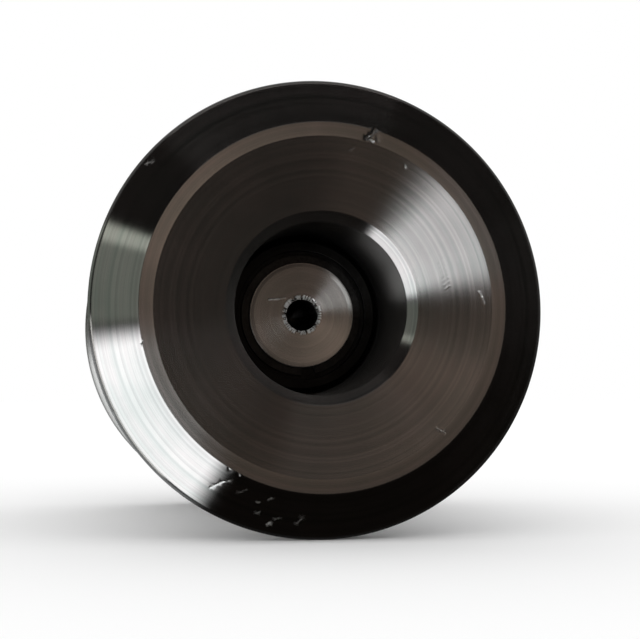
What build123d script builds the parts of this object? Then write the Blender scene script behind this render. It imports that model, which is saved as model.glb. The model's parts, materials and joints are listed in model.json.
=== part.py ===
from build123d import *
import os

# Track roller with two flanges, for the undercarriage of a small tracked machine.
# Millimetres, +Z up. The origin is the roller's centre and its axis lies along Y.
# Half-sections are drawn as (radius, distance from the mid-plane) and serve both ends.

# Shell, outside
FLANGE_R = 100.0  # largest radius, on the flange's outer land
SHELL_HALF = 115.0  # mid-plane to the rim's flat face
RIM_OUTER_R = 79.2
RIM_INNER_R = 73.2
FLANK_DEPTH = 12.5  # rim face to the corner of the flange's outer land
FLANGE_LAND = 16.0  # width of the flange's outer land
TREAD_R = 80.0
TREAD_HALF = 78.0  # mid-plane to the foot of the flange
GROOVE_R = 76.0  # shallow relief round the middle of the tread
GROOVE_HALF = 12.0
GROOVE_SLOPE = 4.0

# Shell, inside
DISH_R = 42.0
DISH_DEPTH = 8.2
RECESS_R = 37.8
MOUTH_DEPTH = 12.0
SHOULDER = 37.5  # floor of the recess, where the seal pocket opens
POCKET_MOUTH_R = 34.6
POCKET_FLOOR_R = 33.7
POCKET_FLOOR = 31.7
RESERVOIR_R = 32.0
RESERVOIR_HALF = 8.0

# Shaft
SHAFT_R = 25.0
SHAFT_HALF = 50.0
SHAFT_CHAMFER = 0.8
THREAD_R = 7.0  # tapping size of an M16 thread
THREAD_WALL = 32.7  # length of the tapped wall
THREAD_MOUTH_R = 8.3
DRILL_POINT = 4.2

# Bushings and thrust washers
BUSHING_R = 29.0
BUSHING_BORE_R = SHAFT_R + 0.05
BUSHING_FLANGE_R = 31.4
BUSHING_FLANGE = 2.5
BUSHING_END = 31.5
SEAT_R = 31.5
WASHER_R = 28.3
WASHER_GAP = 0.1
WASHER_THICK = 1.6

# Seal carriers
CARRIER_R = 37.2
CARRIER_HUB_R = 28.2
CARRIER_RIM = 38.0  # inner end of the carrier's rim, half a millimetre off the shoulder
CARRIER_POCKET_FLOOR = 43.6
CARRIER_FACE = 49.0
CARRIER_FACE_R = 34.6
CARRIER_BEVEL = 2.6
COUNTERBORE_R = 30.4
COUNTERBORE_FLOOR = 46.0

# Snap rings, carrier O-rings and their grooves
SNAP_GROOVE_R = 23.5
SNAP_THICK = 2.0
SNAP_R = 28.6
SNAP_GAP_DEG = 14.0
O_RING_SECTION_R = 1.1
O_RING_GROOVE_R = 22.8
O_RING_GROOVE_HALF = 1.5
O_RING_AT = 36.2

# Floating seals: a turning and a fixed iron ring, each carried on a rubber ring
SEAL_PLANE = 37.75
SEAL_FACE_GAP = 0.02
SEAL_BORE_R = 28.7
SEAL_FACE_R = 33.0
SEAL_BODY_R = 30.6
SEAL_FLANGE = 1.6
SEAL_LENGTH = 5.1
TORIC_R = 32.3
TORIC_SECTION_R = 1.64
TORIC_FROM_PLANE = 3.55

# Fill plug, in the groove at the top
SPOT_R = 8.6
SPOT_FLOOR = 71.0
PLUG_HOLE_R = 5.0
PLUG_HOLE_FLOOR = 58.0
OIL_HOLE_R = 3.0
OIL_HOLE_END = 30.0  # just inside the reservoir
PLUG_WASHER_THICK = 1.2
PLUG_WASHER_R = 7.4
PLUG_HEAD_R = 7.0
PLUG_HEAD = 3.0
PLUG_SHANK_R = 4.95
PLUG_SHANK = 11.0
PLUG_SOCKET_R = 3.46  # across the corners of a 6 mm hexagon
PLUG_SOCKET = 4.5

# Section planes: local X is the radius, and local Y runs from the mid-plane to that end.
END_PLANES = {
    "front": Plane(origin=(0, 0, 0), x_dir=(1, 0, 0), z_dir=(0, 0, -1)),
    "back": Plane(origin=(0, 0, 0), x_dir=(1, 0, 0), z_dir=(0, 0, 1)),
}
# The same, with the radius pointing down, for rings that are split at the bottom.
SPLIT_PLANES = {
    "front": Plane(origin=(0, 0, 0), x_dir=(0, 0, -1), z_dir=(-1, 0, 0)),
    "back": Plane(origin=(0, 0, 0), x_dir=(0, 0, -1), z_dir=(1, 0, 0)),
}


def corners(section, *points):
    """The section's corners nearest to the given (radius, distance) points."""
    return [section.vertices().sort_by_distance(Vector(*point))[0] for point in points]


def save(piece, name):
    piece.part.label = name
    export_step(piece.part, f"parts/{name}.step")


def both_ends(*points):
    """The same (radius, distance) points at both ends of a symmetric section."""
    return [(r, side * d) for r, d in points for side in (-1, 1)]


def make_roller_shell():
    corner = SHELL_HALF - FLANK_DEPTH
    land_foot = corner - FLANGE_LAND
    outline = [
        (RESERVOIR_R, 0),
        (RESERVOIR_R, RESERVOIR_HALF),
        (BUSHING_R, RESERVOIR_HALF),
        (BUSHING_R, BUSHING_END - BUSHING_FLANGE),
        (SEAT_R, BUSHING_END - BUSHING_FLANGE),
        (SEAT_R, POCKET_FLOOR),
        (POCKET_FLOOR_R, POCKET_FLOOR),
        (POCKET_MOUTH_R, SHOULDER),
        (RECESS_R, SHOULDER),
        (RECESS_R, SHELL_HALF - MOUTH_DEPTH),
        (DISH_R, SHELL_HALF - DISH_DEPTH),
        (RIM_INNER_R, SHELL_HALF),
        (RIM_OUTER_R, SHELL_HALF),
        (FLANGE_R, corner),
        (FLANGE_R, land_foot),
        (TREAD_R, TREAD_HALF),
        (TREAD_R, GROOVE_HALF + GROOVE_SLOPE),
        (GROOVE_R, GROOVE_HALF),
        (GROOVE_R, 0),
    ]
    with BuildPart() as shell:
        with BuildSketch(Plane.XY) as section:
            with BuildLine():
                Polyline(*outline)
                mirror(about=Plane.XZ)
            make_face()
            fillet(corners(section, *both_ends((FLANGE_R, corner))), 4.0)
            fillet(corners(section, *both_ends((FLANGE_R, land_foot))), 2.5)
            fillet(corners(section, *both_ends((TREAD_R, TREAD_HALF))), 6.0)
            rim_edges = both_ends((RIM_OUTER_R, SHELL_HALF), (RIM_INNER_R, SHELL_HALF))
            fillet(corners(section, *rim_edges), 0.6)
            mouth = (RECESS_R, SHELL_HALF - MOUTH_DEPTH)
            dish_edge = (DISH_R, SHELL_HALF - DISH_DEPTH)
            fillet(corners(section, *both_ends(mouth, dish_edge)), 0.8)
            fillet(corners(section, *both_ends((RECESS_R, SHOULDER))), 0.3)
        revolve(axis=Axis.Y)
        with BuildSketch(Plane.XY.offset(TREAD_R)):
            Circle(SPOT_R)
        extrude(amount=SPOT_FLOOR - TREAD_R, mode=Mode.SUBTRACT)
        with BuildSketch(Plane.XY.offset(SPOT_FLOOR)):
            Circle(PLUG_HOLE_R)
        extrude(amount=PLUG_HOLE_FLOOR - SPOT_FLOOR, mode=Mode.SUBTRACT)
        with BuildSketch(Plane.XY.offset(PLUG_HOLE_FLOOR)):
            Circle(OIL_HOLE_R)
        extrude(amount=OIL_HOLE_END - PLUG_HOLE_FLOOR, mode=Mode.SUBTRACT)
    return shell


def make_axle_shaft():
    snap_outer = COUNTERBORE_FLOOR + SNAP_THICK + 0.1
    snap_inner = COUNTERBORE_FLOOR - 0.05
    outline = [
        (0, 0),
        (SHAFT_R, 0),
        (SHAFT_R, O_RING_AT - O_RING_GROOVE_HALF),
        (O_RING_GROOVE_R, O_RING_AT - O_RING_GROOVE_HALF),
        (O_RING_GROOVE_R, O_RING_AT + O_RING_GROOVE_HALF),
        (SHAFT_R, O_RING_AT + O_RING_GROOVE_HALF),
        (SHAFT_R, snap_inner),
        (SNAP_GROOVE_R, snap_inner),
        (SNAP_GROOVE_R, snap_outer),
        (SHAFT_R, snap_outer),
        (SHAFT_R, SHAFT_HALF - SHAFT_CHAMFER),
        (SHAFT_R - SHAFT_CHAMFER, SHAFT_HALF),
        (0, SHAFT_HALF),
    ]
    countersink = THREAD_MOUTH_R - THREAD_R
    thread_floor = SHAFT_HALF - countersink - THREAD_WALL
    drilling = [
        (0, SHAFT_HALF),
        (THREAD_MOUTH_R, SHAFT_HALF),
        (THREAD_R, SHAFT_HALF - countersink),
        (THREAD_R, thread_floor),
        (0, thread_floor - DRILL_POINT),
    ]
    with BuildPart() as shaft:
        for plane in END_PLANES.values():
            with BuildSketch(plane):
                with BuildLine():
                    Polyline(*outline, close=True)
                make_face()
            revolve(axis=Axis.Y)
        for plane in END_PLANES.values():
            with BuildSketch(plane):
                with BuildLine():
                    Polyline(*drilling, close=True)
                make_face()
            revolve(axis=Axis.Y, mode=Mode.SUBTRACT)
    return shaft


def make_bushing(end):
    outline = [
        (BUSHING_BORE_R, RESERVOIR_HALF),
        (BUSHING_R, RESERVOIR_HALF),
        (BUSHING_R, BUSHING_END - BUSHING_FLANGE),
        (BUSHING_FLANGE_R, BUSHING_END - BUSHING_FLANGE),
        (BUSHING_FLANGE_R, BUSHING_END),
        (BUSHING_BORE_R, BUSHING_END),
    ]
    with BuildPart() as bushing:
        with BuildSketch(END_PLANES[end]) as section:
            with BuildLine():
                Polyline(*outline, close=True)
            make_face()
            bore_ends = [(BUSHING_BORE_R, RESERVOIR_HALF), (BUSHING_BORE_R, BUSHING_END)]
            chamfer(corners(section, *bore_ends), 0.5)
        revolve(axis=Axis.Y)
    return bushing


def make_thrust_washer(end):
    inner = BUSHING_END + WASHER_GAP
    with BuildPart() as washer:
        with BuildSketch(END_PLANES[end]):
            with Locations(((BUSHING_BORE_R + WASHER_R) / 2, inner + WASHER_THICK / 2)):
                RectangleRounded(WASHER_R - BUSHING_BORE_R, WASHER_THICK, 0.2)
        revolve(axis=Axis.Y)
    return washer


def make_seal_carrier(end):
    hub_end = BUSHING_END + WASHER_GAP + WASHER_THICK
    outline = [
        (SHAFT_R, hub_end),
        (CARRIER_HUB_R, hub_end),
        (CARRIER_HUB_R, CARRIER_POCKET_FLOOR),
        (POCKET_FLOOR_R, CARRIER_POCKET_FLOOR),
        (POCKET_MOUTH_R, CARRIER_RIM),
        (CARRIER_R, CARRIER_RIM),
        (CARRIER_R, CARRIER_FACE - CARRIER_BEVEL),
        (CARRIER_FACE_R, CARRIER_FACE),
        (COUNTERBORE_R, CARRIER_FACE),
        (COUNTERBORE_R, COUNTERBORE_FLOOR),
        (SHAFT_R, COUNTERBORE_FLOOR),
    ]
    with BuildPart() as carrier:
        with BuildSketch(END_PLANES[end]) as section:
            with BuildLine():
                Polyline(*outline, close=True)
            make_face()
            face_edges = [(CARRIER_FACE_R, CARRIER_FACE), (COUNTERBORE_R, CARRIER_FACE)]
            fillet(corners(section, *face_edges), 0.3)
            fillet(corners(section, (CARRIER_HUB_R, CARRIER_POCKET_FLOOR)), 0.4)
        revolve(axis=Axis.Y)
    return carrier


def make_snap_ring(end):
    with BuildPart() as ring:
        with BuildSketch(SPLIT_PLANES[end]):
            middle = ((SNAP_GROOVE_R + SNAP_R) / 2, COUNTERBORE_FLOOR + SNAP_THICK / 2)
            with Locations(middle):
                RectangleRounded(SNAP_R - SNAP_GROOVE_R - 0.1, SNAP_THICK, 0.25)
        revolve(axis=Axis.Y, revolution_arc=360 - SNAP_GAP_DEG)
    return ring


def make_carrier_o_ring(end):
    with BuildPart() as ring:
        with BuildSketch(END_PLANES[end]):
            with Locations((SHAFT_R - O_RING_SECTION_R, O_RING_AT)):
                Circle(O_RING_SECTION_R)
        revolve(axis=Axis.Y)
    return ring


def make_seal_ring(end, away):
    """An iron seal ring; away is 1 for the outer, fixed ring and -1 for the turning one."""
    face = SEAL_PLANE + away * SEAL_FACE_GAP
    flange_back = face + away * SEAL_FLANGE
    tail = face + away * SEAL_LENGTH
    outline = [
        (SEAL_BORE_R, face),
        (SEAL_FACE_R, face),
        (SEAL_FACE_R, flange_back),
        (SEAL_BODY_R, flange_back + away * 0.4),
        (SEAL_BODY_R, tail),
        (SEAL_BORE_R, tail),
    ]
    with BuildPart() as ring:
        with BuildSketch(END_PLANES[end]) as section:
            with BuildLine():
                Polyline(*outline, close=True)
            make_face()
            chamfer(corners(section, (SEAL_BODY_R, tail)), 0.3)
        revolve(axis=Axis.Y)
    return ring


def make_toric(end, away):
    """The rubber ring that centres and loads a seal ring."""
    with BuildPart() as toric:
        with BuildSketch(END_PLANES[end]):
            with Locations((TORIC_R, SEAL_PLANE + away * TORIC_FROM_PLANE)):
                Circle(TORIC_SECTION_R)
        revolve(axis=Axis.Y)
    return toric


def make_fill_plug():
    seat = SPOT_FLOOR + PLUG_WASHER_THICK
    with BuildPart() as plug:
        with BuildSketch(Plane.XY.offset(seat)):
            Circle(PLUG_HEAD_R)
        extrude(amount=PLUG_HEAD)
        chamfer(plug.edges().sort_by(Axis.Z)[-1], 0.5)
        with BuildSketch(Plane.XY.offset(seat)):
            Circle(PLUG_SHANK_R)
        extrude(amount=-PLUG_SHANK)
        chamfer(plug.edges().sort_by(Axis.Z)[0], 0.6)
        with BuildSketch(Plane.XY.offset(seat + PLUG_HEAD)):
            RegularPolygon(PLUG_SOCKET_R, 6)
        extrude(amount=-PLUG_SOCKET, mode=Mode.SUBTRACT)
    return plug


def make_plug_washer():
    with BuildPart() as washer:
        with BuildSketch(Plane.XY.offset(SPOT_FLOOR)):
            Circle(PLUG_WASHER_R)
            Circle(PLUG_HOLE_R + 0.1, mode=Mode.SUBTRACT)
        extrude(amount=PLUG_WASHER_THICK)
    return washer


os.makedirs("parts", exist_ok=True)
save(make_roller_shell(), "roller_shell")
save(make_axle_shaft(), "axle_shaft")
for end in END_PLANES:
    save(make_bushing(end), f"bushing_{end}")
    save(make_thrust_washer(end), f"thrust_washer_{end}")
    save(make_seal_carrier(end), f"seal_carrier_{end}")
    save(make_snap_ring(end), f"snap_ring_{end}")
    save(make_carrier_o_ring(end), f"carrier_o_ring_{end}")
    for kind, away in (("fixed", 1), ("turning", -1)):
        save(make_seal_ring(end, away), f"{kind}_seal_ring_{end}")
        save(make_toric(end, away), f"{kind}_toric_{end}")
save(make_fill_plug(), "fill_plug")
save(make_plug_washer(), "plug_washer")
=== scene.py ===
import json
import math

import bmesh
import bpy
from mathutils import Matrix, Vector, noise


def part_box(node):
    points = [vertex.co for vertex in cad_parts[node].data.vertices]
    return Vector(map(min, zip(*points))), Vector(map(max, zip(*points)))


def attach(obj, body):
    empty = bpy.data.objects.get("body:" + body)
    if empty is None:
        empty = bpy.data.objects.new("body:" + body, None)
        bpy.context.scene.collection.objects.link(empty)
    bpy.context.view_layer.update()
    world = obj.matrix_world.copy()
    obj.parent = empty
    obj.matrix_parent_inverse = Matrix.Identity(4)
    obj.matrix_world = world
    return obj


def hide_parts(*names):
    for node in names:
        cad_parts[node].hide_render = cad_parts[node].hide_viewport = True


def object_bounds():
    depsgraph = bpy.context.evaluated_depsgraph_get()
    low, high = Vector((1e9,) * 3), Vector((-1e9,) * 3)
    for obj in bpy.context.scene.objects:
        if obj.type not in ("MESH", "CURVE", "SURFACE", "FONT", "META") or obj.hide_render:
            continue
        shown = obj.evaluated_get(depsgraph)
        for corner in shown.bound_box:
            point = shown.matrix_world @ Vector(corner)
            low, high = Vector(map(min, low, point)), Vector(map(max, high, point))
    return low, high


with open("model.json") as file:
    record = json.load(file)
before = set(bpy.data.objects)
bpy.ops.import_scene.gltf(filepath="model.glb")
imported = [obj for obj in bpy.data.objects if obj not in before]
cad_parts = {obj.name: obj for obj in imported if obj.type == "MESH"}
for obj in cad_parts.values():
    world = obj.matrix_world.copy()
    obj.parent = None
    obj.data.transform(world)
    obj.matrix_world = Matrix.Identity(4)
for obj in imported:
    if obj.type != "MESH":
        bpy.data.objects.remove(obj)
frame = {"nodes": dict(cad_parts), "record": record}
cad_low, cad_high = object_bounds()

# The roller's axis is Y. Outlines are given as (radius, distance from the mid-plane) in
# millimetres, and a mesh is made in metres.
MM = 0.001
ENDS = {"front": -1, "back": 1}

shell_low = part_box("roller_shell")[0]
shaft_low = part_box("axle_shaft")[0]
FLANGE_R = -shell_low.x / MM
SHELL_HALF = -shell_low.y / MM
SHAFT_R = -shaft_low.x / MM
SHAFT_HALF = -shaft_low.y / MM

# Shell
RIM_OUTER_R = 79.2
RIM_INNER_R = 73.2
FLANK_DEPTH = 12.5
FLANGE_LAND = 16.0
TREAD_R = 80.0
TREAD_HALF = 78.0
GROOVE_R = 76.0
GROOVE_HALF = 12.0
GROOVE_SLOPE = 4.0
GROOVE_EDGE = 0.8
FLANGE_EDGE = 4.0
FLANGE_FOOT_EDGE = 2.5
TREAD_FILLET = 6.0
RIM_EDGE = 0.6
DISH_R = 42.0
DISH_DEPTH = 8.2
RECESS_R = 37.8
MOUTH_DEPTH = 12.0
MOUTH_EDGE = 0.8
RECESS_CORNER = 0.3
SHOULDER = 37.5
POCKET_MOUTH_R = 34.6
POCKET_LIP = 0.35
POCKET_FLOOR_R = 33.7
POCKET_FLOOR = 31.7
SEAT_R = 31.5
BUSHING_R = 29.0
BUSHING_SEAT = 29.0
RESERVOIR_R = 32.0
RESERVOIR_HALF = 8.0
SPOT_R = 8.6
SPOT_FLOOR = 71.0
PLUG_HOLE_R = 5.0
PLUG_HOLE_FLOOR = 58.0
PLUG_HOLE_CHAMFER = 0.5

# Shaft
SHAFT_EDGE = 0.8
THREAD_R = 7.0
THREAD_CREST = 1.0
THREAD_PITCH = 2.0
THREAD_FLAT = 0.1
THREAD_MOUTH_R = 8.3
THREADED = 22.0
BURRED_DEPTH = 1.1
MOUTH_TEAR = 0.9
MOUTH_TEAR_DEPTH = 1.6
MOUTH_LAND = 0.4
CHATTER_TEETH = 27
CHATTER_RAGGEDNESS = 15.0
CHATTER_PATCHES = 1.9
THREAD_WALL = 32.7
DRILL_POINT = 4.2
O_RING_GROOVE_R = 22.8
O_RING_AT = 36.2
O_RING_GROOVE_HALF = 1.5
SNAP_GROOVE_R = 23.5
SNAP_INNER = 45.95
SNAP_OUTER = 48.1

# How finely the meshes are made. A long stretch of an outline is split in fine steps where
# marks are made and in coarse ones elsewhere, with one more ring close to each of its ends.
SHELL_SEGMENTS = 360
SHAFT_SEGMENTS = 192
CUTTER_SEGMENTS = 96
ARC_STEP_DEG = 22.0
FEWEST_ARC_STEPS = 3
FINE_STEP = 1.2
COARSE_STEP = 20.0
EDGE_RING = 0.12
SHARP_DEG = 40.0
MOUTH_ROW = 0.12
MOUTH_ROWS = 12
THREAD_ROWS_PER_PITCH = 12
MARK_SPLITS = 2
MARK_MARGIN = 1.0
MARK_RAGGEDNESS = 0.9
MARK_SHINE = 1.6
LEAST_PRESS = 0.1
MOST_PRESS = 1.2
# Marks touch only what is before these places along the axis.
SHELL_FACE_ENDS = -90.0
SHAFT_FACE_ENDS = 0.05 - SHAFT_HALF


def unit(value):
    """The value kept between 0 and 1."""
    return min(1.0, max(0.0, value))


# ---------------------------------------------------------------- outlines and lathes


def arc_between(before, corner, after, radius):
    """Points of an arc of that radius tangent to both sides of a corner."""
    to_before = (before - corner).normalized()
    to_after = (after - corner).normalized()
    inside = to_before.angle(to_after)
    reach = radius / math.tan(inside / 2)
    centre = corner + (to_before + to_after).normalized() * (radius / math.sin(inside / 2))
    start = corner + to_before * reach - centre
    end = corner + to_after * reach - centre
    sweep = math.pi - inside
    count = max(FEWEST_ARC_STEPS, math.ceil(math.degrees(sweep) / ARC_STEP_DEG))
    points = []
    for k in range(count + 1):
        t = k / count
        a = math.sin((1 - t) * sweep) / math.sin(sweep)
        b = math.sin(t * sweep) / math.sin(sweep)
        points.append(centre + start * a + end * b)
    return points


def rounded(corners):
    """An outline's (radius, distance, rounding) corners as points, with the rounded ones as arcs."""
    bent = []
    for k, (r, d, rounding) in enumerate(corners):
        corner = Vector((r, d))
        if rounding:
            before = Vector(corners[k - 1][:2])
            after = Vector(corners[(k + 1) % len(corners)][:2])
            bent += arc_between(before, corner, after, rounding)
        else:
            bent.append(corner)
    return bent


def outline_points(corners, worn_before, closed=True):
    """A rounded outline with its long stretches split, as points close enough to lathe.

    Stretches before worn_before along the axis are split finely, ready for wear marks."""
    bent = rounded(corners)
    points = []
    last = len(bent) if closed else len(bent) - 1
    for k in range(last):
        a, b = bent[k], bent[(k + 1) % len(bent)]
        points.append(a)
        run = (b - a).length
        if run > 3 * FINE_STEP:
            pieces = round(run / (FINE_STEP if max(a.y, b.y) < worn_before else COARSE_STEP))
            inner = [EDGE_RING / run] + [t / pieces for t in range(1, pieces)] + [1 - EDGE_RING / run]
            points += [a.lerp(b, t) for t in inner]
    if not closed:
        points.append(bent[-1])
    return points


def mirrored(half):
    """A half-outline that starts and ends on the mid-plane, with its mirror image added."""
    return half + [(r, -d, rounding) for r, d, rounding in reversed(half[1:-1])]


def point_on(radius, distance, angle):
    return Vector((radius * math.cos(angle), distance, radius * math.sin(angle))) * MM


def lathe(bm, points, segments, closed):
    """Turns the points about Y and returns the rings of vertices."""
    rings = []
    for p in points:
        ring = []
        for s in range(segments):
            ring.append(bm.verts.new(point_on(p.x, p.y, math.tau * s / segments)))
        rings.append(ring)
    last = len(rings) if closed else len(rings) - 1
    for k in range(last):
        join_rings(bm, rings[k], rings[(k + 1) % len(rings)])
    return rings


def join_rings(bm, a, b):
    n = len(a)
    for s in range(n):
        t = (s + 1) % n
        bm.faces.new((a[s], a[t], b[t], b[s]))


def finish_mesh(bm, name):
    bmesh.ops.recalc_face_normals(bm, faces=bm.faces[:])
    for face in bm.faces:
        face.smooth = True
    mesh = bpy.data.meshes.new(name)
    bm.to_mesh(mesh)
    bm.free()
    mesh.set_sharp_from_angle(angle=math.radians(SHARP_DEG))
    piece = bpy.data.objects.new(name, mesh)
    bpy.context.scene.collection.objects.link(piece)
    return piece


# ---------------------------------------------------------------- wear marks

# Knocks and scratches on the front end of the shell. Each runs from one place to another,
# given as degrees round the axis and radius, and has a width, a depth and how bare it is.
SHELL_MARKS = [
    (74.5, 79.0, 76.5, 74.5, 1.0, 0.60, 0.05),
    (75.0, 74.5, 74.0, 74.0, 0.7, 0.20, 0.35),
    (73.0, 77.0, 72.5, 75.5, 1.3, 0.10, 0.05),
    (61.0, 71.0, 60.0, 69.5, 0.5, 0.05, 0.10),
    (81.0, 68.5, 80.0, 69.5, 0.6, 0.05, 0.05),
    (6.0, 68.0, 4.0, 69.0, 0.5, 0.05, 0.10),
    (4.0, 69.0, 1.5, 70.0, 0.5, 0.05, 0.10),
    (313.0, 70.5, 314.0, 74.5, 0.5, 0.08, 0.20),
    (237.5, 90.5, 239.5, 85.5, 0.4, 0.05, 0.75),
    (239.5, 85.5, 241.0, 83.5, 0.4, 0.05, 0.20),
    (254.0, 84.0, 253.5, 85.0, 0.5, 0.06, 0.25),
    (251.5, 87.0, 251.0, 87.5, 0.5, 0.06, 0.20),
    (252.5, 91.0, 252.0, 92.0, 0.5, 0.06, 0.20),
    (256.0, 94.5, 255.5, 95.5, 0.7, 0.08, 0.40),
    (258.0, 91.5, 257.0, 92.5, 0.5, 0.06, 0.15),
    (264.0, 90.0, 263.0, 93.0, 0.5, 0.05, 0.15),
    (245.0, 86.5, 246.5, 84.0, 0.5, 0.04, 0.10),
    (238.5, 79.5, 239.0, 80.0, 0.4, 0.10, 0.10),
    (242.0, 79.5, 242.5, 80.0, 0.4, 0.10, 0.08),
    (140.0, 95.5, 141.0, 97.0, 0.5, 0.08, 0.30),
    (191.0, 79.0, 191.5, 79.5, 0.5, 0.12, 0.10),
    (207.0, 99.5, 207.5, 100.0, 1.2, 0.30, 0.10),
]
# A row of short tool-chatter ticks on the dish.
SHELL_MARKS += [(9 + 2 * k, 54.2, 10.2 + 2 * k, 56.0, 0.35, 0.035, 0.0) for k in range(7)]
SHAFT_MARKS = [
    (156.0, 17.0, 146.0, 13.0, 0.45, 0.06, 0.55),
    (146.0, 13.0, 134.0, 11.0, 0.35, 0.05, 0.30),
]


def in_plane(degrees, radius):
    angle = math.radians(degrees)
    return Vector((radius * math.cos(angle), radius * math.sin(angle)))


def along_mark(vert, mark):
    """How far a vertex is from the mark's line, in millimetres."""
    at = Vector((vert.co.x, vert.co.z)) / MM
    start, end = in_plane(*mark[0:2]), in_plane(*mark[2:4])
    run = end - start
    t = unit((at - start).dot(run) / run.length_squared)
    return (at - start - run * t).length


def near_mark(verts, mark, reach, face_ends):
    """The vertices of the front face that are nearer the mark's line than reach."""
    middle = (in_plane(*mark[0:2]) + in_plane(*mark[2:4])) / 2
    far = (in_plane(*mark[0:2]) - middle).length + reach
    box = [v for v in verts if v.co.y / MM < face_ends]
    box = [v for v in box if abs(v.co.x / MM - middle.x) < far]
    box = [v for v in box if abs(v.co.z / MM - middle.y) < far]
    return [v for v in box if along_mark(v, mark) < reach]


def make_marks(bm, marks, face_ends):
    """Splits the faces under each mark, presses it in, and notes how bare the metal is."""
    bare = bm.verts.layers.float.get("bare") or bm.verts.layers.float.new("bare")
    for number, mark in enumerate(marks):
        width, depth, shine = mark[4:]
        for _ in range(MARK_SPLITS):
            close = set(near_mark(bm.verts, mark, width + MARK_MARGIN, face_ends))
            edges = [e for e in bm.edges if e.verts[0] in close and e.verts[1] in close]
            bmesh.ops.subdivide_edges(bm, edges=edges, cuts=1, use_grid_fill=True)
        for vert in near_mark(bm.verts, mark, width, face_ends):
            away = along_mark(vert, mark) / width
            uneven = noise.noise(vert.co / MM * MARK_RAGGEDNESS + Vector((number, 0, 0)))
            ragged = min(MOST_PRESS, max(LEAST_PRESS, 0.8 + 0.6 * uneven))
            press = max(0.0, 1 - away * away) * ragged
            vert.co.y += press * depth * MM
            vert[bare] = max(vert[bare], min(1.0, MARK_SHINE * press * shine))


# ---------------------------------------------------------------- roller shell


def shell_outline():
    corner = SHELL_HALF - FLANK_DEPTH
    half = [
        (RESERVOIR_R, 0, 0),
        (RESERVOIR_R, RESERVOIR_HALF, 0),
        (BUSHING_R, RESERVOIR_HALF, 0),
        (BUSHING_R, BUSHING_SEAT, 0),
        (SEAT_R, BUSHING_SEAT, 0),
        (SEAT_R, POCKET_FLOOR, 0),
        (POCKET_FLOOR_R, POCKET_FLOOR, 0),
        (POCKET_MOUTH_R, SHOULDER, POCKET_LIP),
        (RECESS_R, SHOULDER, RECESS_CORNER),
        (RECESS_R, SHELL_HALF - MOUTH_DEPTH, MOUTH_EDGE),
        (DISH_R, SHELL_HALF - DISH_DEPTH, MOUTH_EDGE),
        (RIM_INNER_R, SHELL_HALF, RIM_EDGE),
        (RIM_OUTER_R, SHELL_HALF, RIM_EDGE),
        (FLANGE_R, corner, FLANGE_EDGE),
        (FLANGE_R, corner - FLANGE_LAND, FLANGE_FOOT_EDGE),
        (TREAD_R, TREAD_HALF, TREAD_FILLET),
        (TREAD_R, GROOVE_HALF + GROOVE_SLOPE, GROOVE_EDGE),
        (GROOVE_R, GROOVE_HALF, GROOVE_EDGE),
        (GROOVE_R, 0, 0),
    ]
    return outline_points(mirrored(half), worn_before=0.5 - corner)


def make_cutter():
    """The plug's spot face and threaded hole, as a stepped solid standing on the groove."""
    bm = bmesh.new()
    steps = [
        (PLUG_HOLE_R, PLUG_HOLE_FLOOR),
        (PLUG_HOLE_R, SPOT_FLOOR - PLUG_HOLE_CHAMFER),
        (PLUG_HOLE_R + PLUG_HOLE_CHAMFER, SPOT_FLOOR),
        (SPOT_R, SPOT_FLOOR),
        (SPOT_R, TREAD_R),
    ]
    rings = []
    for radius, height in steps:
        ring = []
        for s in range(CUTTER_SEGMENTS):
            angle = math.tau * s / CUTTER_SEGMENTS
            place = Vector((math.cos(angle) * radius, math.sin(angle) * radius, height))
            ring.append(bm.verts.new(place * MM))
        rings.append(ring)
    for a, b in zip(rings, rings[1:]):
        join_rings(bm, a, b)
    bm.faces.new(rings[0])
    bm.faces.new(rings[-1])
    return finish_mesh(bm, "plug_cutter")


def make_shell():
    bm = bmesh.new()
    lathe(bm, shell_outline(), SHELL_SEGMENTS, closed=True)
    make_marks(bm, SHELL_MARKS, SHELL_FACE_ENDS)
    shell = finish_mesh(bm, "shell_skin")
    cutter = make_cutter()
    cut = shell.modifiers.new("plug_hole", "BOOLEAN")
    cut.object = cutter
    cut.operation = "DIFFERENCE"
    cut.solver = "EXACT"
    with bpy.context.temp_override(object=shell, active_object=shell):
        bpy.ops.object.modifier_apply(modifier=cut.name)
    bpy.data.objects.remove(cutter)
    shell.data.set_sharp_from_angle(angle=math.radians(SHARP_DEG))
    return shell


# ---------------------------------------------------------------- shaft


def shaft_outline():
    """The outside of the shaft, from beside the front hole's mouth to beside the back one's."""
    half = [
        (SHAFT_R, 0, 0),
        (SHAFT_R, O_RING_AT - O_RING_GROOVE_HALF, 0),
        (O_RING_GROOVE_R, O_RING_AT - O_RING_GROOVE_HALF, 0),
        (O_RING_GROOVE_R, O_RING_AT + O_RING_GROOVE_HALF, 0),
        (SHAFT_R, O_RING_AT + O_RING_GROOVE_HALF, 0),
        (SHAFT_R, SNAP_INNER, 0),
        (SNAP_GROOVE_R, SNAP_INNER, 0),
        (SNAP_GROOVE_R, SNAP_OUTER, 0),
        (SHAFT_R, SNAP_OUTER, 0),
        (SHAFT_R, SHAFT_HALF, SHAFT_EDGE),
        (THREAD_MOUTH_R + MOUTH_TEAR + MOUTH_LAND, SHAFT_HALF, 0),
    ]
    front = [(r, -d, rounding) for r, d, rounding in reversed(half[1:])]
    return outline_points(front + half, worn_before=SHAFT_FACE_ENDS, closed=False)


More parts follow.
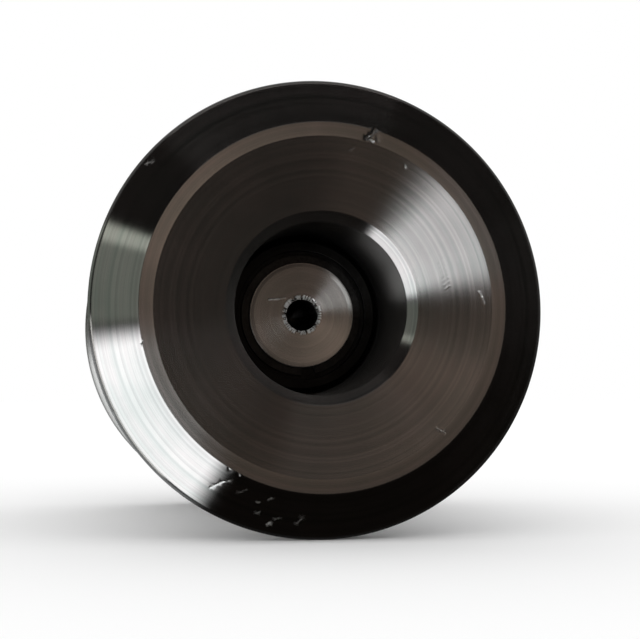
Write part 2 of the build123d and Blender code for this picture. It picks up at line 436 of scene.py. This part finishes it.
def chatter_at(angle, end):
    """How much the countersink is torn at an angle, from 0 to 1: ragged teeth in patches."""
    around = Vector((math.cos(angle), math.sin(angle), 0))
    drift = 4.0 * math.sin(2 * angle + end) + 3.0 * math.sin(5 * angle)
    teeth = 0.5 + 0.5 * math.sin(CHATTER_TEETH * angle + drift)
    ragged = 0.5 + 1.3 * noise.noise(around * CHATTER_RAGGEDNESS + Vector((0, 0, 4.0 * end)))
    patchy = 0.85 + 0.9 * noise.noise(around * CHATTER_PATCHES + Vector((0, 0, 3.0 * end)))
    return unit((0.6 * teeth + 0.6 * ragged) * patchy)


def thread_radius(depth, angle, end):
    """Radius of the tapped hole's wall at a depth below the end face.

    Root and crest each have a flat of THREAD_FLAT of the pitch, with straight sides between."""
    tear = MOUTH_TEAR * chatter_at(angle, end) * max(0.0, 1 - depth / MOUTH_TEAR_DEPTH)
    cone = THREAD_MOUTH_R - depth + tear
    phase = (depth / THREAD_PITCH + angle / math.tau) % 1.0
    rise = 1 - 2 * abs(phase - 0.5)
    crest = unit((rise - THREAD_FLAT) / (1 - 2 * THREAD_FLAT))
    fade = unit((THREADED - depth) / THREAD_PITCH)
    return max(cone, THREAD_R + THREAD_CREST * crest * fade)


def burr_wear_and_glints(depth, angle, end):
    """How bare the torn metal near the mouth is, from 0 to 1: bare wear, with painted glints as bright
    bare metal.
    """
    place = Vector((9.0 * math.cos(angle), 9.0 * math.sin(angle), 2.6 * depth + end))
    return unit(3.0 * chatter_at(angle, end) - 1.1 + 2.4 * noise.noise(place))


def hole_depths(bottom):
    """Depths of the hole's rings: close ones at the mouth, then even rows down the thread."""
    depths = [MOUTH_ROW * k for k in range(MOUTH_ROWS)]
    start = depths[-1]
    row = THREAD_PITCH / THREAD_ROWS_PER_PITCH
    count = math.ceil((THREADED - start) / row)
    depths += [start + row * k for k in range(1, count + 1)]
    return depths + [THREADED + 1.0, bottom]


def hole_rings(bm, mouth, end):
    """Rings from the mouth down the threaded wall to the bottom of the drilled hole."""
    side = ENDS[end]
    bottom = THREAD_MOUTH_R - THREAD_R + THREAD_WALL
    bare = bm.verts.layers.float.get("bare")
    rings = [mouth]
    for depth in hole_depths(bottom):
        ring = []
        for s in range(SHAFT_SEGMENTS):
            angle = math.tau * s / SHAFT_SEGMENTS
            radius = thread_radius(depth, angle, side)
            vert = bm.verts.new(point_on(radius, side * (SHAFT_HALF - depth), angle))
            # Painted glints on the torn mouth, kept as bare metal.
            if depth < BURRED_DEPTH:
                vert[bare] = burr_wear_and_glints(depth, angle, side)
            ring.append(vert)
        rings.append(ring)
    for a, b in zip(rings, rings[1:]):
        join_rings(bm, a, b)
    tip = bm.verts.new(point_on(0, side * (SHAFT_HALF - bottom - DRILL_POINT), 0))
    last = rings[-1]
    for s in range(SHAFT_SEGMENTS):
        bm.faces.new((last[s], last[(s + 1) % SHAFT_SEGMENTS], tip))


def make_shaft():
    bm = bmesh.new()
    bm.verts.layers.float.new("bare")
    rings = lathe(bm, shaft_outline(), SHAFT_SEGMENTS, closed=False)
    hole_rings(bm, rings[0], "front")
    hole_rings(bm, rings[-1], "back")
    make_marks(bm, SHAFT_MARKS, SHAFT_FACE_ENDS)
    return finish_mesh(bm, "shaft_skin")


# ---------------------------------------------------------------- materials


class Nodes:
    """A small helper that makes and links shader nodes."""

    def __init__(self, tree):
        self.tree = tree
        tree.nodes.clear()

    def add(self, kind, **settings):
        node = self.tree.nodes.new(kind)
        for key, value in settings.items():
            setattr(node, key, value)
        return node

    def feed(self, socket, value):
        if isinstance(value, bpy.types.NodeSocket):
            self.tree.links.new(value, socket)
        elif value is not None:
            socket.default_value = value

    def math(self, operation, a, b=None, c=None):
        node = self.add("ShaderNodeMath", operation=operation)
        for socket, value in zip(node.inputs, (a, b, c)):
            self.feed(socket, value)
        return node.outputs[0]

    def vector(self, x=0.0, y=0.0, z=0.0):
        node = self.add("ShaderNodeCombineXYZ")
        for socket, value in zip(node.inputs, (x, y, z)):
            self.feed(socket, value)
        return node.outputs[0]

    def noise(self, where, scale, detail=4.0, roughness=0.5):
        node = self.add("ShaderNodeTexNoise")
        self.feed(node.inputs["Vector"], where)
        node.inputs["Scale"].default_value = scale
        node.inputs["Detail"].default_value = detail
        node.inputs["Roughness"].default_value = roughness
        return node.outputs["Fac"]

    def ramp(self, value, low, high, to_low=0.0, to_high=1.0):
        node = self.add("ShaderNodeMapRange", clamp=True, interpolation_type="SMOOTHSTEP")
        for socket, v in zip(node.inputs, (value, low, high, to_low, to_high)):
            self.feed(socket, v)
        return node.outputs[0]

    def mix(self, factor, a, b):
        node = self.add("ShaderNodeMix", data_type="RGBA")
        self.feed(node.inputs["Factor"], factor)
        self.feed(node.inputs["A"], a)
        self.feed(node.inputs["B"], b)
        return node.outputs["Result"]

    def surface(self, colour, roughness, height):
        """A principled surface with a bump from a height in metres, linked to the output."""
        bump = self.add("ShaderNodeBump")
        bump.inputs["Strength"].default_value = 1.0
        bump.inputs["Distance"].default_value = 1.0
        self.feed(bump.inputs["Height"], height)
        shader = self.add("ShaderNodeBsdfPrincipled")
        self.feed(shader.inputs["Base Color"], colour)
        self.feed(shader.inputs["Roughness"], roughness)
        self.feed(shader.inputs["Normal"], bump.outputs[0])
        output = self.add("ShaderNodeOutputMaterial")
        self.feed(output.inputs["Surface"], shader.outputs[0])
        return shader


def rgb(r, g, b):
    return (r, g, b, 1.0)


def grey(level):
    return rgb(level, level, level)


def warm(level):
    return rgb(level, 0.80 * level, 0.66 * level)


def lathe_places(n):
    """Object coordinates of a turned piece: the point, its radius and its place along the axis."""
    place = n.add("ShaderNodeTexCoord").outputs["Object"]
    xyz = n.add("ShaderNodeSeparateXYZ")
    n.feed(xyz.inputs[0], place)
    x, y, z = xyz.outputs
    radius = n.math("SQRT", n.math("ADD", n.math("MULTIPLY", x, x), n.math("MULTIPLY", z, z)))
    return place, radius, y


# How many to the metre the marks of turning and the stains are.
FINE_TURNING = 1500.0
BROAD_TURNING = 420.0
RING_TURNING = 640.0
STAINS = 34.0
SMEARS = 120.0
BLOTCHES = 60.0
# How high the marks of turning and the grain of a plain finish stand, in metres.
FINE_RELIEF = 0.0000022
BROAD_RELIEF = 0.0000055
GRAIN_RELIEF = 0.00002
# How much each of these changes the roughness.
TURNING_ROUGHENS = 0.05
SMEARS_ROUGHEN = 0.04
KNOCKS_ROUGHEN = 0.22
BLOTCHES_ROUGHEN = 0.2
GROOVE_SHADE = rgb(0.05, 0.05, 0.055)
# Near black: the painted shade deep in the recess and in the tapped hole.
PAINTED_SHADE_BLACK = rgb(0.004, 0.0038, 0.0035)
# Bare metal of wear marks, also the colour of the painted glints on torn burrs.
BARE_METAL_AND_GLINTS = rgb(0.82, 0.82, 0.80)
# The tangent runs round the axis, and a quarter turn spreads the gloss across the rings.
QUARTER_TURN = 0.25


def shell_roughness(n, radius, y, face, flank, tread):
    """The roughness of the end face, of the flank round it and of the outside between the flanks."""
    beyond = n.ramp(radius, (RIM_OUTER_R - 0.2) * MM, (RIM_OUTER_R + 0.4) * MM)
    base = n.math("MULTIPLY_ADD", beyond, flank - face, face)
    corner = SHELL_HALF - FLANK_DEPTH
    between = n.ramp(n.math("ABSOLUTE", y), (corner - 3.0) * MM, (corner + 0.5) * MM, 1.0, 0.0)
    outside = n.ramp(radius, (GROOVE_R - 2) * MM, (GROOVE_R - 1) * MM)
    outside = n.math("MULTIPLY", between, outside)
    return n.math("MULTIPLY_ADD", outside, n.math("SUBTRACT", tread, base), base)


def painted_shade_mask(n, radius, y, widest, deepest):
    """Where painted shade goes: 1 where a point is nearer the axis than widest and nearer the middle than
    deepest.
    """
    inside = n.ramp(radius, (widest - 0.3) * MM, (widest + 0.3) * MM, 1.0, 0.0)
    within = n.ramp(n.math("ABSOLUTE", y), (deepest - 0.8) * MM, (deepest + 0.4) * MM, 1.0, 0.0)
    return n.math("MULTIPLY", inside, within)


def turned_metal(name, light, dark, roughness, anisotropy, lean=0.0, lip=None, outside=None, painted_shade=None):
    """Metal turned on a lathe about Y: fine rings, uneven sheen, stains, bare knocks, painted glints,
    painted shade.

    lean tilts the tool ridges of an end face towards the axis, and lip, a radius and a
    slope, tilts those beyond that radius further. outside is the roughness of the flanks
    and of the tread. The last argument is a radius, a distance from the mid-plane and how
    dark painted shade makes the metal nearer the middle than both."""
    material = bpy.data.materials.new(name)
    material.use_nodes = True
    n = Nodes(material.node_tree)
    place, radius, y = lathe_places(n)
    along = n.vector(radius, y, 0.0)
    fine = n.noise(along, FINE_TURNING, 1.0)
    broad = n.noise(along, BROAD_TURNING, 2.0)
    rings = n.noise(along, RING_TURNING, 3.0, 0.6)
    stains = n.noise(place, STAINS, 4.0, 0.55)
    smears = n.noise(place, SMEARS, 3.0)
    worn_and_glinting = n.add("ShaderNodeAttribute", attribute_name="bare").outputs["Fac"]

    tone = n.math("ADD", n.math("MULTIPLY", broad, 0.45), n.math("MULTIPLY", stains, 0.55))
    colour = n.mix(n.ramp(tone, 0.34, 0.66), dark, light)
    colour = n.mix(n.ramp(rings, 0.35, 0.65, 0.20, 0.0), colour, GROOVE_SHADE)
    # Painted shade: the metal deep in the recess and in the tapped hole is darkened towards black.
    if painted_shade is not None:
        widest, deepest, shade_strength = painted_shade
        shaded_inside = painted_shade_mask(n, radius, y, widest, deepest)
        colour = n.mix(n.math("MULTIPLY", shaded_inside, shade_strength), colour, PAINTED_SHADE_BLACK)
    # Bare metal of knocks and scratches, and painted glints on the torn mouths of the tapped holes.
    colour = n.mix(worn_and_glinting, colour, BARE_METAL_AND_GLINTS)

    base = roughness if outside is None else shell_roughness(n, radius, y, roughness, *outside)
    rough = n.math("MULTIPLY_ADD", n.math("SUBTRACT", broad, 0.5), TURNING_ROUGHENS, base)
    rough = n.math("MULTIPLY_ADD", n.math("SUBTRACT", smears, 0.5), SMEARS_ROUGHEN, rough)
    rough = n.math("MULTIPLY_ADD", worn_and_glinting, KNOCKS_ROUGHEN, rough)

    height = n.math("ADD", n.math("MULTIPLY", fine, FINE_RELIEF), n.math("MULTIPLY", broad, BROAD_RELIEF))
    if lean:
        height = n.math("MULTIPLY_ADD", radius, lean, height)
    if lip is not None:
        lip_radius, lip_slope = lip
        past = n.math("MAXIMUM", n.math("SUBTRACT", radius, lip_radius * MM), 0.0)
        height = n.math("MULTIPLY_ADD", past, lip_slope, height)

    tangent = n.add("ShaderNodeTangent", direction_type="RADIAL", axis="Y")
    shader = n.surface(colour, rough, height)
    n.feed(shader.inputs["Tangent"], tangent.outputs[0])
    n.feed(shader.inputs["Metallic"], n.math("MULTIPLY_ADD", worn_and_glinting, -0.6, 1.0))
    shader.inputs["Anisotropic"].default_value = anisotropy
    shader.inputs["Anisotropic Rotation"].default_value = QUARTER_TURN
    return material


def plain_finish(name, light, dark, roughness, grain, metallic):
    """A cast, coated or moulded finish: a fine grain with uneven tone and gloss."""
    material = bpy.data.materials.new(name)
    material.use_nodes = True
    n = Nodes(material.node_tree)
    place = n.add("ShaderNodeTexCoord").outputs["Object"]
    speckle = n.noise(place, grain, 4.0, 0.65)
    blotches = n.noise(place, BLOTCHES, 3.0)
    tone = n.math("ADD", n.math("MULTIPLY", speckle, 0.5), n.math("MULTIPLY", blotches, 0.5))
    colour = n.mix(n.ramp(tone, 0.35, 0.65), dark, light)
    rough = n.math("MULTIPLY_ADD", n.math("SUBTRACT", blotches, 0.5), BLOTCHES_ROUGHEN, roughness)
    shader = n.surface(colour, rough, n.math("MULTIPLY", speckle, GRAIN_RELIEF))
    shader.inputs["Metallic"].default_value = metallic
    return material


# How each slot of the record is finished: what makes the material, and with which settings.
# The shell and the shaft get painted shade deep inside: a radius, a distance from the mid-plane and its
# strength.
FINISHES = {
    "shell_steel": (turned_metal, dict(
        light=rgb(0.352, 0.322, 0.308), dark=rgb(0.280, 0.278, 0.262), roughness=0.215,
        anisotropy=0.95, outside=(0.13, 0.34), painted_shade=(RECESS_R + 1.0, SHELL_HALF - MOUTH_DEPTH, 0.35))),
    "shaft_steel": (turned_metal, dict(
        light=rgb(0.42, 0.39, 0.375), dark=rgb(0.335, 0.33, 0.31), roughness=0.235,
        anisotropy=0.9, lean=0.085, lip=(SHAFT_R - 2.4, 0.07),
        painted_shade=(THREAD_MOUTH_R, SHAFT_HALF - BURRED_DEPTH, 0.95))),
    # The carrier and spring steel are a dark finish made darker still: painted shade of the recess round
    # the shaft.
    "carrier_steel": (plain_finish, dict(
        light=rgb(0.016, 0.015, 0.014), dark=rgb(0.006, 0.0056, 0.0052), roughness=0.36,
        grain=900.0, metallic=1.0)),
    "bronze": (turned_metal, dict(
        light=rgb(0.72, 0.50, 0.24), dark=rgb(0.52, 0.33, 0.14), roughness=0.3, anisotropy=0.8)),
    "spring_steel": (plain_finish, dict(
        light=rgb(0.024, 0.023, 0.022), dark=rgb(0.01, 0.0098, 0.0095), roughness=0.3,
        grain=700.0, metallic=1.0)),
    "seal_iron": (turned_metal, dict(
        light=rgb(0.40, 0.40, 0.40), dark=rgb(0.30, 0.30, 0.30), roughness=0.22, anisotropy=0.8)),
    "seal_rubber": (plain_finish, dict(
        light=rgb(0.022, 0.022, 0.022), dark=rgb(0.012, 0.012, 0.012), roughness=0.55,
        grain=1400.0, metallic=0.0)),
    "plug_steel": (plain_finish, dict(
        light=rgb(0.26, 0.25, 0.24), dark=rgb(0.17, 0.163, 0.155), roughness=0.34,
        grain=500.0, metallic=1.0)),
    "copper": (plain_finish, dict(
        light=rgb(0.75, 0.36, 0.20), dark=rgb(0.55, 0.24, 0.13), roughness=0.32,
        grain=400.0, metallic=1.0)),
}


def make_finishes():
    return {slot: make(slot, **settings) for slot, (make, settings) in FINISHES.items()}


def assign(piece, material):
    piece.data.materials.clear()
    piece.data.materials.append(material)


# ---------------------------------------------------------------- stage, light and camera


FLOOR_HALF = 6.0
PAPER_WHITE = 0.92


def make_floor():
    bm = bmesh.new()
    bmesh.ops.create_grid(bm, x_segments=8, y_segments=8, size=FLOOR_HALF)
    for v in bm.verts:
        v.co.z = cad_low.z
    floor = finish_mesh(bm, "floor")
    material = bpy.data.materials.new("floor_paper")
    material.use_nodes = True
    shader = material.node_tree.nodes["Principled BSDF"]
    shader.inputs["Base Color"].default_value = grey(PAPER_WHITE)
    shader.inputs["Roughness"].default_value = 1.0
    shader.inputs["Specular IOR Level"].default_value = 0.0
    assign(floor, material)
    floor.visible_glossy = False


# Soft panels that gloss sees in a dim studio. Each has its middle and half-width round the
# axis in degrees from +X towards +Z, how far off the axis it starts and stops, how soft its
# edges are, its light, and how much of it there is in front of the roller and behind it.
PANELS = [
    ("glow overhead", 70, 61, 3, 17.5, 6, warm(0.53), 1.0, 1.0),
    ("glow below", 272, 28, 14, 22, 5, warm(0.17), 1.0, 1.0),
    ("low fill", 66, 48, 22, 37, 8, warm(0.06), 1.0, 0.0),
    ("overhead", 92, 30, 46, 58, 3, grey(0.45), 1.0, 1.0),
    ("pale board", 167, 15, 44, 80, 3, rgb(0.34, 0.385, 0.345), 1.0, 1.0),
    ("strip", 154, 2.5, 46, 80, 1.5, rgb(0.95, 1.05, 0.95), 1.0, 0.3),
    ("main panel", 215, 29, 12.5, 80, 4.5, rgb(3.15, 3.35, 3.5), 1.0, 0.15),
    ("its dim end", 226, 19, 27, 52, 7, rgb(1.4, 1.5, 1.55), 0.85, 0.0),
    ("ceiling", 92, 30, 88.5, 95, 1, grey(1.0), 1.0, 1.0),
    ("wall left", 206, 26, 84, 95, 2, grey(2.2), 1.0, 1.0),
    ("wall right", 350, 34, 89, 95, 0.8, grey(0.25), 1.0, 1.0),
]
MATTE_LIGHT = 1.12
# The dim room itself, as gloss sees it: round the axis and away from it in front of the
# roller, and low and high behind it.
FRONT_NEAR_AXIS = warm(0.042)
FRONT_AWAY = warm(0.008)
REAR_LOW = grey(0.03)
REAR_HIGH = grey(0.20)


def make_world():
    """White to the eye, soft light on matte things, and a dim room with soft panels for gloss."""
    world = bpy.data.worlds.new("studio")
    bpy.context.scene.world = world
    world.use_nodes = True
    n = Nodes(world.node_tree)
    ray = n.add("ShaderNodeTexCoord").outputs["Generated"]
    xyz = n.add("ShaderNodeSeparateXYZ")
    n.feed(xyz.inputs[0], ray)
    x, y, z = xyz.outputs
    turn = n.math("DEGREES", n.math("ARCTAN2", z, x))
    off_axis = n.math("DEGREES", n.math("ARCCOSINE", n.math("ABSOLUTE", y)))
    behind = n.ramp(y, 0.0, 0.2)
    front_room = n.mix(n.ramp(off_axis, 8, 40), FRONT_NEAR_AXIS, FRONT_AWAY)
    rear_room = n.mix(n.ramp(z, -0.4, 0.9), REAR_LOW, REAR_HIGH)
    room = n.mix(behind, front_room, rear_room)
    for name, middle, half, start, stop, soft, light, front, rear in PANELS:
        aside = n.math("PINGPONG", n.math("SUBTRACT", turn, middle), 180.0)
        across = n.ramp(aside, half - soft, half + soft, 1.0, 0.0)
        rises = n.ramp(off_axis, start - soft, start + soft)
        falls = n.ramp(off_axis, stop - soft, stop + soft, 1.0, 0.0)
        there = n.math("MULTIPLY_ADD", behind, rear - front, front)
        mask = n.math("MULTIPLY", n.math("MULTIPLY", across, there), n.math("MULTIPLY", rises, falls))
        room = n.mix(mask, room, light)

    paths = n.add("ShaderNodeLightPath")
    gloss = n.add("ShaderNodeBackground")
    n.feed(gloss.inputs["Color"], room)
    soft = n.add("ShaderNodeBackground")
    soft.inputs["Color"].default_value = grey(1.0)
    soft.inputs["Strength"].default_value = MATTE_LIGHT
    white = n.add("ShaderNodeBackground")
    white.inputs["Color"].default_value = grey(1.0)
    first = n.add("ShaderNodeMixShader")
    n.feed(first.inputs[0], paths.outputs["Is Glossy Ray"])
    n.feed(first.inputs[1], soft.outputs[0])
    n.feed(first.inputs[2], gloss.outputs[0])
    second = n.add("ShaderNodeMixShader")
    n.feed(second.inputs[0], paths.outputs["Is Camera Ray"])
    n.feed(second.inputs[1], first.outputs[0])
    n.feed(second.inputs[2], white.outputs[0])
    output = n.add("ShaderNodeOutputWorld")
    n.feed(output.inputs["Surface"], second.outputs[0])


def make_camera():
    """In front of the rim, a little to the left of the axis and below it."""
    distance = 0.575
    off_axis = math.radians(10.9)
    below_left = math.radians(18.6)
    rim = Vector((0, cad_low.y, 0))
    side = distance * math.sin(off_axis)
    back = distance * math.cos(off_axis)
    place = rim + Vector((-side * math.cos(below_left), -back, -side * math.sin(below_left)))
    off_centre = Vector((-0.0028, 0, -0.0055))
    aim = rim + off_centre
    camera = bpy.data.cameras.new("camera")
    camera.lens = 76.2
    camera.sensor_width = 36.0
    eye = bpy.data.objects.new("camera", camera)
    eye.location = place
    eye.rotation_mode = "QUATERNION"
    eye.rotation_quaternion = (aim - place).to_track_quat("-Z", "Y")
    bpy.context.scene.collection.objects.link(eye)
    bpy.context.scene.camera = eye


# ---------------------------------------------------------------- the scene

bpy.context.scene.view_settings.view_transform = "Standard"
finishes = make_finishes()

SKINS = {"roller_shell": (make_shell, "roller"), "axle_shaft": (make_shaft, "axle")}
for part in frame["record"]["subparts"]:
    node, slot = part["node"], part["material_slot"]
    if node in SKINS:
        make, body = SKINS[node]
        piece = make()
        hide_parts(node)
        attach(piece, body)
    else:
        piece = frame["nodes"][node]
    assign(piece, finishes[slot])

make_floor()
make_world()
make_camera()
